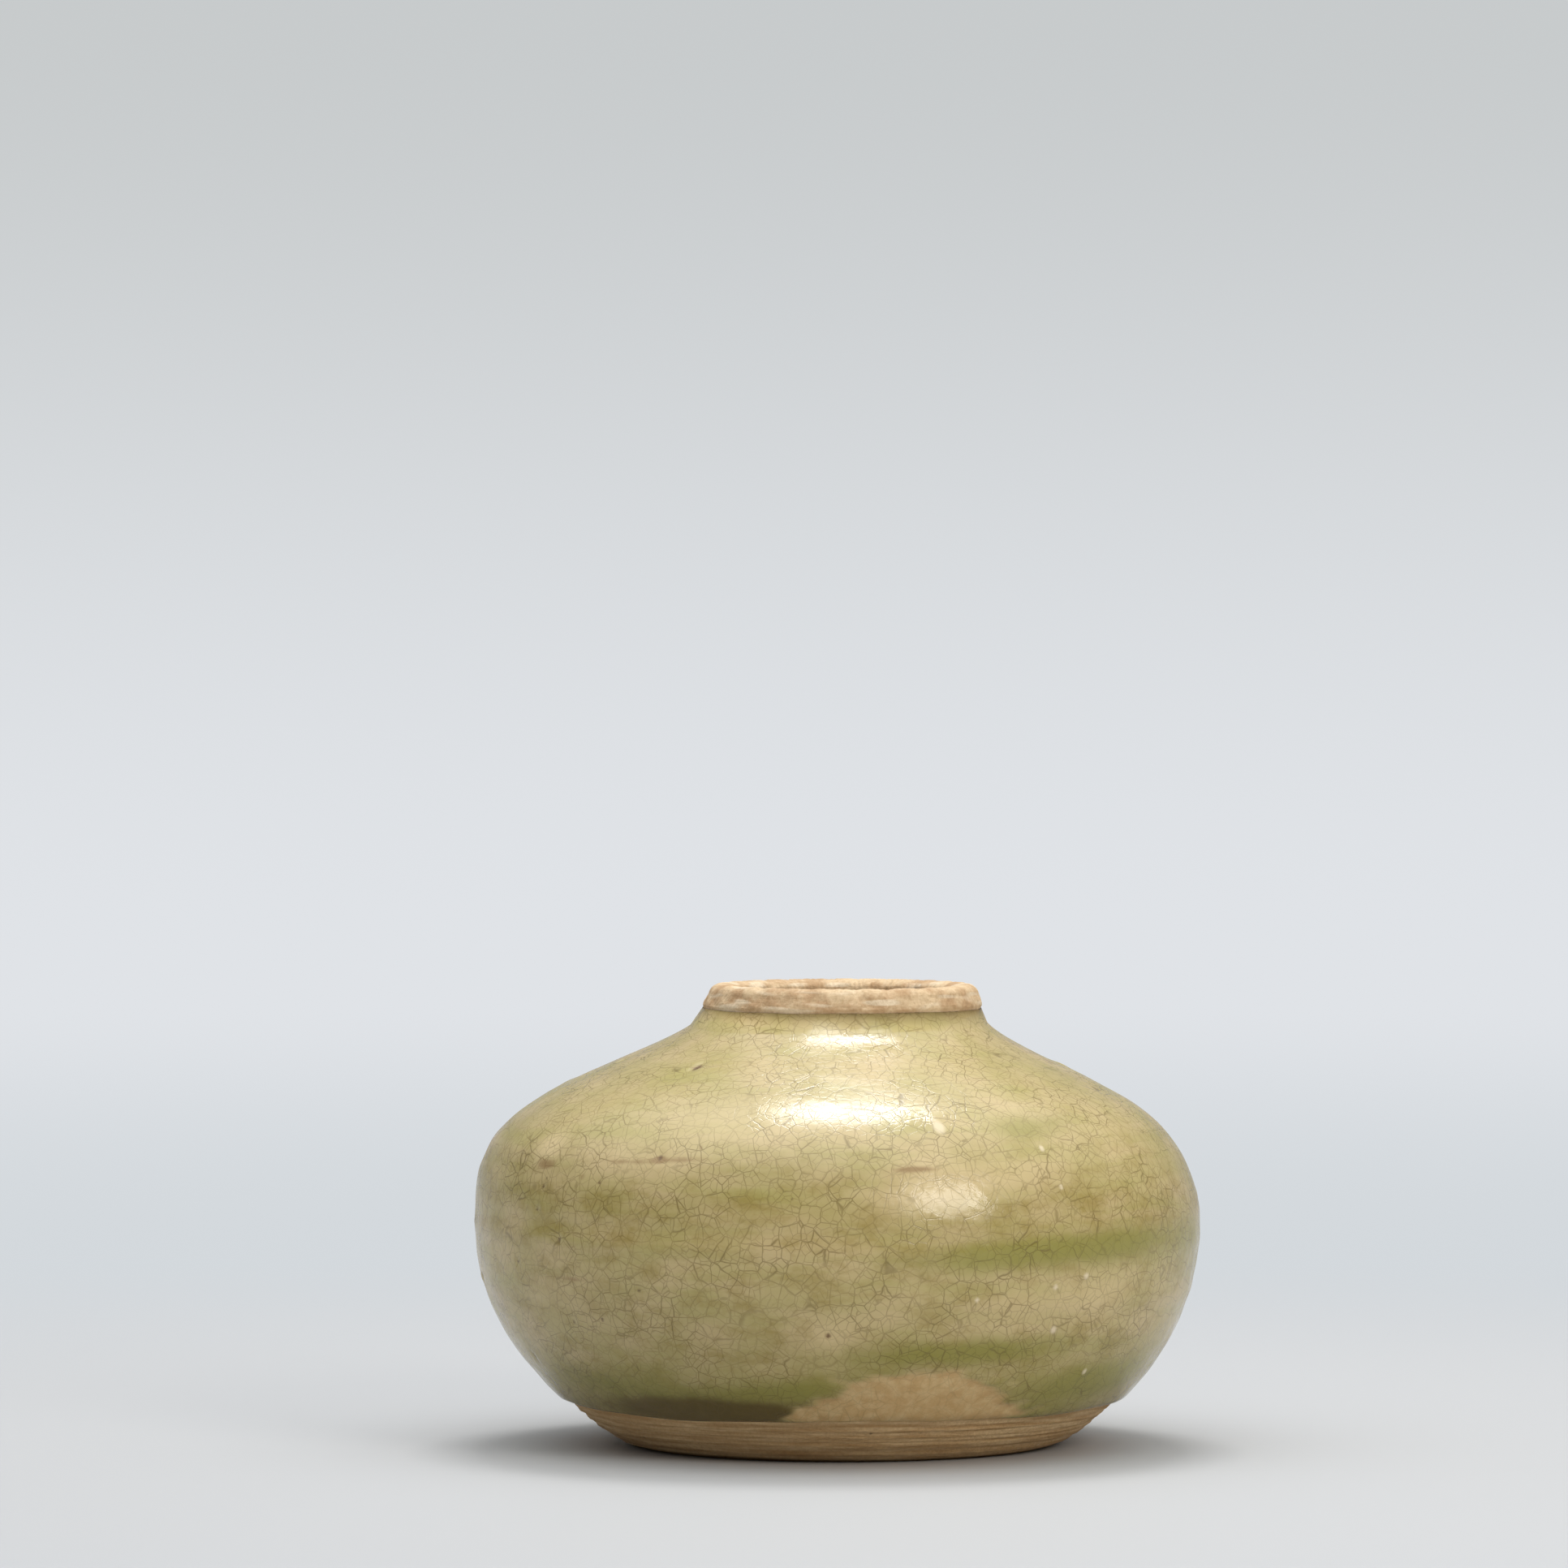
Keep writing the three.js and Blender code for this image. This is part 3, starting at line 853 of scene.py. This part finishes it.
def celadon_material():
    material, make, shader = new_material("crackled_celadon")
    where = make.place()
    pale_buff = (0.68, 0.53, 0.285)
    deep_green = (0.27, 0.245, 0.045)
    pooled_olive_and_shade = (0.095, 0.058, 0.006)
    crack_brown = (0.15, 0.10, 0.025)
    speck_brown = (0.13, 0.075, 0.03)
    stain_brown = (0.29, 0.175, 0.07)
    pit_brown = (0.13, 0.07, 0.03)
    bump_pale_and_glint = (0.78, 0.66, 0.45)
    edge_brown = (0.36, 0.25, 0.09)
    colour = glaze_colour(make, where, base=(0.475, 0.39, 0.165), warm=(0.565, 0.44, 0.225),
                          green=(0.36, 0.335, 0.08), dull=(0.31, 0.225, 0.052))
    ragged = make.math("SUBTRACT", make.noise(where, 330, 4, 0.6), 0.5)
    green = make.plus(make.mark("green"), make.times(ragged, 0.5))
    pool_and_shade = make.plus(make.mark("pool_and_shade"), make.times(ragged, 0.7))
    thin = make.plus(make.mark("bare"), make.times(ragged, 0.5))
    brown = make.plus(make.mark("brown"), make.times(ragged, 1.1))
    thin_clay = make.tint((0.57, 0.36, 0.15), (0.68, 0.49, 0.24), make.noise(where, 700, 4, 0.6), 0.35, 0.7)
    colour = make.tint(colour, pale_buff, make.mark("buff"), 0.1, 1.2, most=0.8)
    # The green mask darkens the lower body too, partly as painted shade.
    colour = make.tint(colour, deep_green, green, 0.15, 1.15, most=0.92)
    # The pool mask darkens pooled glaze and also paints shade low on the left.
    colour = make.tint(colour, pooled_olive_and_shade, pool_and_shade, 0.1, 1.25, most=0.9)
    colour = make.tint(colour, thin_clay, thin, 0.15, 0.85, most=0.9)
    lines = crackle(make, where)
    colour = make.mix(lines, colour, crack_brown)
    specks = make.times(make.specks(where, 0.0055, 0.00028, 0.5), 0.75)
    colour = make.mix(specks, colour, speck_brown)
    colour = make.tint(colour, stain_brown, brown, 0.35, 1.1, most=0.75)
    colour = make.tint(colour, pit_brown, make.mark("pit"), 0.45, 0.95, most=0.8)
    # Raised bumps are tinted pale: partly pale glaze on the bumps, partly a painted glint.
    colour = make.tint(colour, bump_pale_and_glint, make.mark("rise"), 0.35, 0.95, most=0.75)
    colour = make.tint(colour, edge_brown, make.mark("edge"), 0.5, 1.0, most=0.45)
    make.link(colour, shader["Base Color"])
    gloss = make.remap(make.noise(where, 260, 3, 0.6), 0.3, 0.7, 0.13, 0.26)
    make.link(make.plus(gloss, make.times(make.mark("bare"), 0.3)), shader["Roughness"])
    shader["IOR"].default_value = 1.5
    peel = make.bump(make.noise(where, 650, 2, 0.5), 0.22, 0.00022)
    make.link(make.bump(make.times(lines, -1.0), 0.25, 0.00006, peel), shader["Normal"])
    return material


def lining_material():
    material, make, shader = new_material("celadon_lining_glass")
    where = make.place()
    patch_buff = (0.58, 0.36, 0.17)
    crack_brown = (0.2, 0.14, 0.06)
    colour = glaze_colour(make, where, base=(0.56, 0.50, 0.27), warm=(0.62, 0.45, 0.24),
                          green=(0.44, 0.43, 0.20), dull=(0.40, 0.28, 0.13))
    patches = make.remap(make.noise(where, 210, 4, 0.6), 0.48, 0.62)
    colour = make.mix(patches, colour, patch_buff)
    lines = make.times(make.cracks(make.warped(where, 500, 0.0006), 0.0017, 0.00012), 0.5)
    colour = make.mix(lines, colour, crack_brown)
    make.link(colour, shader["Base Color"])
    make.link(make.remap(patches, 0.0, 1.0, 0.14, 0.4), shader["Roughness"])
    make.link(make.bump(make.noise(where, 700, 3, 0.5), 0.35, 0.0003), shader["Normal"])
    return material


def clay_material():
    """Bare clay: brown with turned bands on the foot, pale and streaked on the lip, with grit in both."""
    material, make, shader = new_material("bare_stoneware")
    where = make.place()
    foot_brown, foot_pale, foot_blotch = (0.46, 0.265, 0.10), (0.80, 0.58, 0.31), (0.60, 0.38, 0.175)
    lip_brown, lip_pale, lip_streak = (0.50, 0.32, 0.165), (0.70, 0.52, 0.31), (0.80, 0.66, 0.46)
    grain_brown, grit_pale, grit_dark = (0.30, 0.17, 0.08), (0.74, 0.64, 0.50), (0.09, 0.05, 0.025)
    grain = make.noise(where, 2600, 4, 0.65)
    blotch = make.noise(where, 260, 4, 0.6)
    turned = make.noise(make.squeezed(where, (1.0, 1.0, 22.0)), 110, 3, 0.55)
    foot = make.tint(foot_brown, foot_pale, turned, 0.3, 0.7)
    foot = make.tint(foot, foot_blotch, blotch, 0.35, 0.7, most=0.55)
    lip = make.tint(lip_brown, lip_pale, blotch, 0.40, 0.60)
    lip = make.tint(lip, lip_streak, make.mark("streaks"), 0.3, 1.2, most=0.75)
    colour = make.mix(make.mark("rim"), foot, lip)
    colour = make.tint(colour, grain_brown, grain, 0.35, 0.75, most=0.3)
    pale_grit = make.times(make.specks(where, 0.0030, 0.00030, 0.35), 0.75)
    colour = make.mix(pale_grit, colour, grit_pale)
    dark_grit = make.times(make.specks(make.squeezed(where, (1.1, 1.1, 1.3)), 0.0034, 0.00030, 0.30), 0.8)
    colour = make.mix(dark_grit, colour, grit_dark)
    make.link(colour, shader["Base Color"])
    make.link(make.remap(grain, 0.3, 0.7, 0.62, 0.92), shader["Roughness"])
    sand = make.bump(grain, 0.55, 0.00018)
    make.link(make.bump(turned, 0.35, 0.00025, sand), shader["Normal"])
    return material


def dress(piece, material, node):
    piece.data.materials.append(material)
    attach(piece, "root")
    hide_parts(node)


def make_camera():
    data = bpy.data.cameras.new("camera")
    data.lens = CAMERA_LENS
    data.sensor_width = SENSOR_WIDTH
    camera = bpy.data.objects.new("camera", data)
    camera.location = CAMERA_PLACE
    camera.rotation_euler = (math.pi / 2 - CAMERA_PITCH, 0, 0)
    bpy.context.scene.collection.objects.link(camera)
    bpy.context.scene.camera = camera


def stage_material():
    """Pale paper that takes the jar's shadow near it, and further off shows the camera a glow of painted
    light: paler further back, with painted shade greying the backdrop towards its top.
    """
    material, make, shader = new_material("pale_paper")
    shadow_only, even_start, far_end, backdrop_height = 0.10, 0.30, 1.1, 0.26
    near_paper, far_paper, backdrop_top_shade = (0.655, 0.69, 0.72), (0.745, 0.768, 0.80), (0.575, 0.597, 0.604)
    where = make.node("ShaderNodeNewGeometry").outputs["Position"]
    outward = make.node("ShaderNodeVectorMath", operation="LENGTH")
    make.link(make.squeezed(where, (1.0, 1.0, 0.0)), outward.inputs[0])
    distance = outward.outputs["Value"]
    split = make.node("ShaderNodeSeparateXYZ")
    make.link(where, split.inputs[0])
    # The glow paints the paper's lighting: paler further off, and painted shade greying the backdrop towards
    # its top.
    level = make.tint(near_paper, far_paper, distance, even_start, far_end)
    backdrop = make.tint(level, backdrop_top_shade, split.outputs["Z"], 0.0, backdrop_height)
    glow = make.node("ShaderNodeEmission")
    make.link(backdrop, glow.inputs["Color"])
    seen = make.node("ShaderNodeLightPath").outputs["Is Camera Ray"]
    shader["Base Color"].default_value = (0.48, 0.485, 0.492, 1)
    shader["Roughness"].default_value = 0.6
    shader["Specular IOR Level"].default_value = 0.2
    mixer = make.node("ShaderNodeMixShader")
    make.link(make.times(make.remap(distance, shadow_only, even_start), seen), mixer.inputs[0])
    make.link(make.tree.nodes["Principled BSDF"].outputs[0], mixer.inputs[1])
    make.link(glow.outputs[0], mixer.inputs[2])
    make.link(mixer.outputs[0], make.tree.nodes["Material Output"].inputs["Surface"])
    return material


def make_stage():
    """A floor that curves up into a backdrop behind the jar."""
    profile = [(STAGE_FRONT, 0.0), (-STAGE_LEVEL_PART, 0.0), (STAGE_LEVEL_PART, 0.0), (STAGE_BACK, 0.0)]
    for step in range(1, STAGE_BEND_STEPS + 1):
        turn = math.pi / 2 * step / STAGE_BEND_STEPS
        profile.append((STAGE_BACK + STAGE_BEND * math.sin(turn), STAGE_BEND * (1 - math.cos(turn))))
    profile.append((STAGE_BACK + STAGE_BEND, STAGE_TOP))
    vertices = [(x, y, z) for y, z in profile for x in (-STAGE_HALF_WIDTH, STAGE_HALF_WIDTH)]
    faces = [(2 * i, 2 * i + 1, 2 * i + 3, 2 * i + 2) for i in range(len(profile) - 1)]
    mesh = bpy.data.meshes.new("stage")
    mesh.from_pydata(vertices, [], faces)
    mesh.materials.append(stage_material())
    for face in mesh.polygons:
        face.use_smooth = True
    stage = bpy.data.objects.new("stage", mesh)
    bpy.context.scene.collection.objects.link(stage)


def make_sky():
    """Even light from all round that grows towards straight overhead."""
    world = bpy.data.worlds.new("studio")
    bpy.context.scene.world = world
    world.use_nodes = True
    make = Nodes(world.node_tree)
    sky = world.node_tree.nodes["Background"].inputs
    split = make.node("ShaderNodeSeparateXYZ")
    make.link(make.node("ShaderNodeTexCoord").outputs["Generated"], split.inputs[0])
    upward = make.math("POWER", split.outputs["Z"], OVERHEAD_FOCUS, clamp=True)
    make.link(make.plus(make.times(upward, OVERHEAD_SKY), LEVEL_SKY), sky["Strength"])
    sky["Color"].default_value = SKY_COLOUR


def make_lamp(name, direction, size, power, colour):
    """A softbox that faces the middle of the jar."""
    data = bpy.data.lights.new(name, "AREA")
    data.shape = "RECTANGLE"
    data.size, data.size_y = size
    data.energy = power
    data.color = colour
    lamp = bpy.data.objects.new(name, data)
    aim = Vector(direction).normalized()
    lamp.location = aim * LAMP_DISTANCE + Vector((0, 0, LAMP_AIM_HEIGHT))
    lamp.rotation_euler = aim.to_track_quat("Z", "Y").to_euler()
    bpy.context.scene.collection.objects.link(lamp)


dress(make_outer_glaze(), celadon_material(), "outer_glaze")
dress(make_clay(), clay_material(), "clay_body")
dress(make_lining(), lining_material(), "inner_glaze")

make_camera()
make_stage()
make_sky()
for lamp in LAMPS:
    make_lamp(*lamp)
bpy.context.scene.view_settings.view_transform = "Standard"
